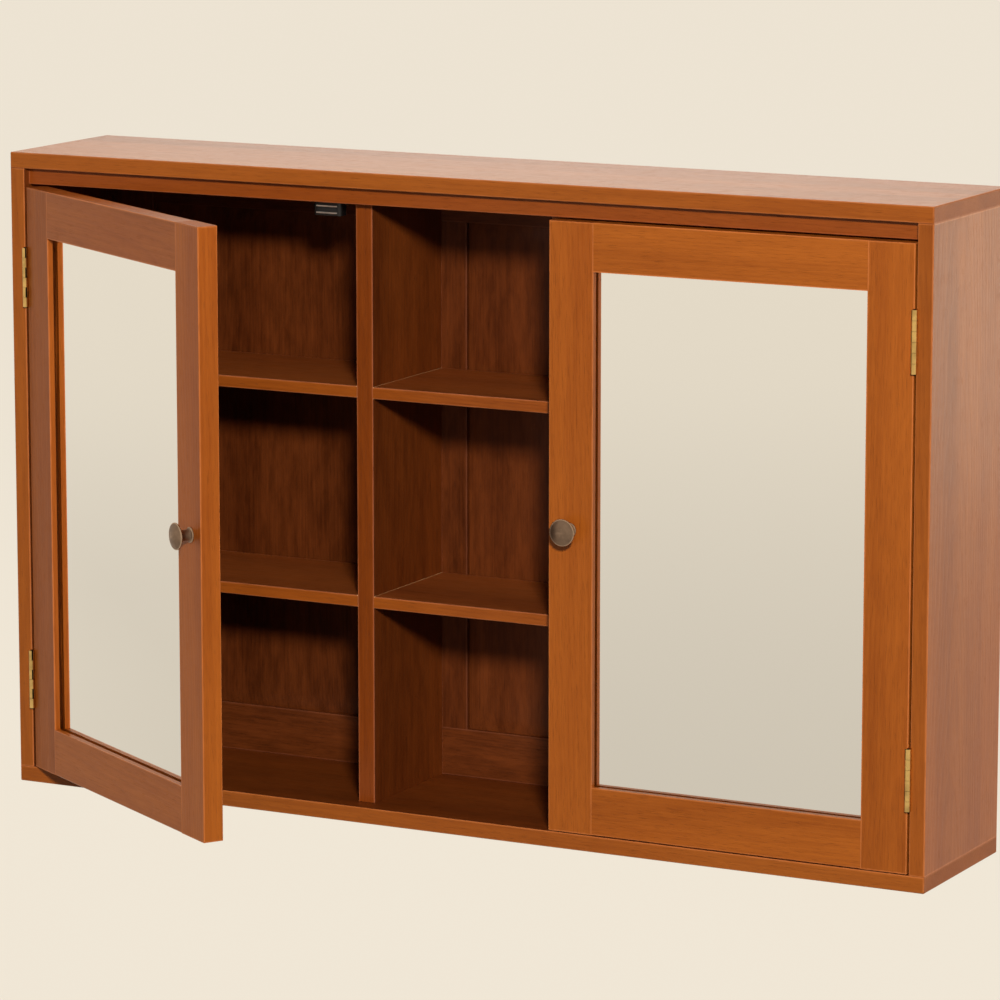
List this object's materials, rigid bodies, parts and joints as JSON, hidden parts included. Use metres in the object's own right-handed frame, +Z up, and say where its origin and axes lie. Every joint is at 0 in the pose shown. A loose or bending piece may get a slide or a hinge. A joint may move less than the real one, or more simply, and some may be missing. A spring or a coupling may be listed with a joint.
{
  "type": "wall cabinet with mirror doors",
  "caption": "Wall-hung teak bathroom cabinet with framed mirror doors on brass hinges either side of an open shelved bay.",
  "frame": {"origin": "on the wall plane, in the middle of the four wall screw holes, which is the centre of the back", "axes": "+X to the right of someone facing the cabinet, +Y into the wall, +Z up; the doors face -Y"},
  "size_m": [1, 0.3893, 0.646],
  "materials": {
    "carcass_teak": "satin oil",
    "door_teak": "satin oil",
    "shelf_teak": "satin oil",
    "back_teak": "satin oil",
    "mirror": "silvered",
    "backing_board": "raw hardboard",
    "hinge_brass": "satin",
    "brass_screw": "satin",
    "knob_bronze": "antique",
    "zinc_screw": "plated",
    "catch_steel": "plated",
    "magnet": "matt",
    "catch_plastic": "moulded",
    "dowel_beech": "raw"
  },
  "bodies": {
    "cabinet": {"back_bottom_rail": "back_teak", "back_left_muntin": "back_teak", "back_left_panel": "back_teak", "back_left_stile": "back_teak", "back_middle_panel": "back_teak", "back_right_muntin": "back_teak", "back_right_panel": "back_teak", "back_right_stile": "back_teak", "back_top_rail": "back_teak", "bottom_board": "carcass_teak", "cabinet_screws": "brass_screw", "catch_magnets": "magnet", "catch_pole_plates": "catch_steel", "corner_dowels": "dowel_beech", "head_rail": "carcass_teak", "hinge_pins": "hinge_brass", "left_catch_body": "catch_plastic", "left_lower_hinge_frame_leaf": "hinge_brass", "left_lower_shelf": "shelf_teak", "left_partition": "carcass_teak", "left_side": "carcass_teak", "left_upper_hinge_frame_leaf": "hinge_brass", "left_upper_shelf": "shelf_teak", "middle_lower_shelf": "shelf_teak", "middle_upper_shelf": "shelf_teak", "right_catch_body": "catch_plastic", "right_lower_hinge_frame_leaf": "hinge_brass", "right_lower_shelf": "shelf_teak", "right_partition": "carcass_teak", "right_side": "carcass_teak", "right_upper_hinge_frame_leaf": "hinge_brass", "right_upper_shelf": "shelf_teak", "top_board": "carcass_teak"},
    "left_door": {"left_door_backing_board": "backing_board", "left_door_bottom_rail": "door_teak", "left_door_hinge_stile": "door_teak", "left_door_knob": "knob_bronze", "left_door_knob_screw": "zinc_screw", "left_door_latch_stile": "door_teak", "left_door_mirror": "mirror", "left_door_retaining_beads": "door_teak", "left_door_screws": "brass_screw", "left_door_strike_plate": "catch_steel", "left_door_top_rail": "door_teak", "left_lower_hinge_door_leaf": "hinge_brass", "left_upper_hinge_door_leaf": "hinge_brass"},
    "right_door": {"right_door_backing_board": "backing_board", "right_door_bottom_rail": "door_teak", "right_door_hinge_stile": "door_teak", "right_door_knob": "knob_bronze", "right_door_knob_screw": "zinc_screw", "right_door_latch_stile": "door_teak", "right_door_mirror": "mirror", "right_door_retaining_beads": "door_teak", "right_door_screws": "brass_screw", "right_door_strike_plate": "catch_steel", "right_door_top_rail": "door_teak", "right_lower_hinge_door_leaf": "hinge_brass", "right_upper_hinge_door_leaf": "hinge_brass"}
  },
  "joints": [
    {"name": "left_door_swing", "type": "hinge", "parent": "cabinet", "child": "left_door", "pos_m": [-0.483, -0.182, 0], "axis": [0, 0, -1], "range_deg": [-32, 143]},
    {"name": "right_door_swing", "type": "hinge", "parent": "cabinet", "child": "right_door", "pos_m": [0.483, -0.182, 0], "axis": [0, 0, 1], "range_deg": [0, 175]}
  ]
}
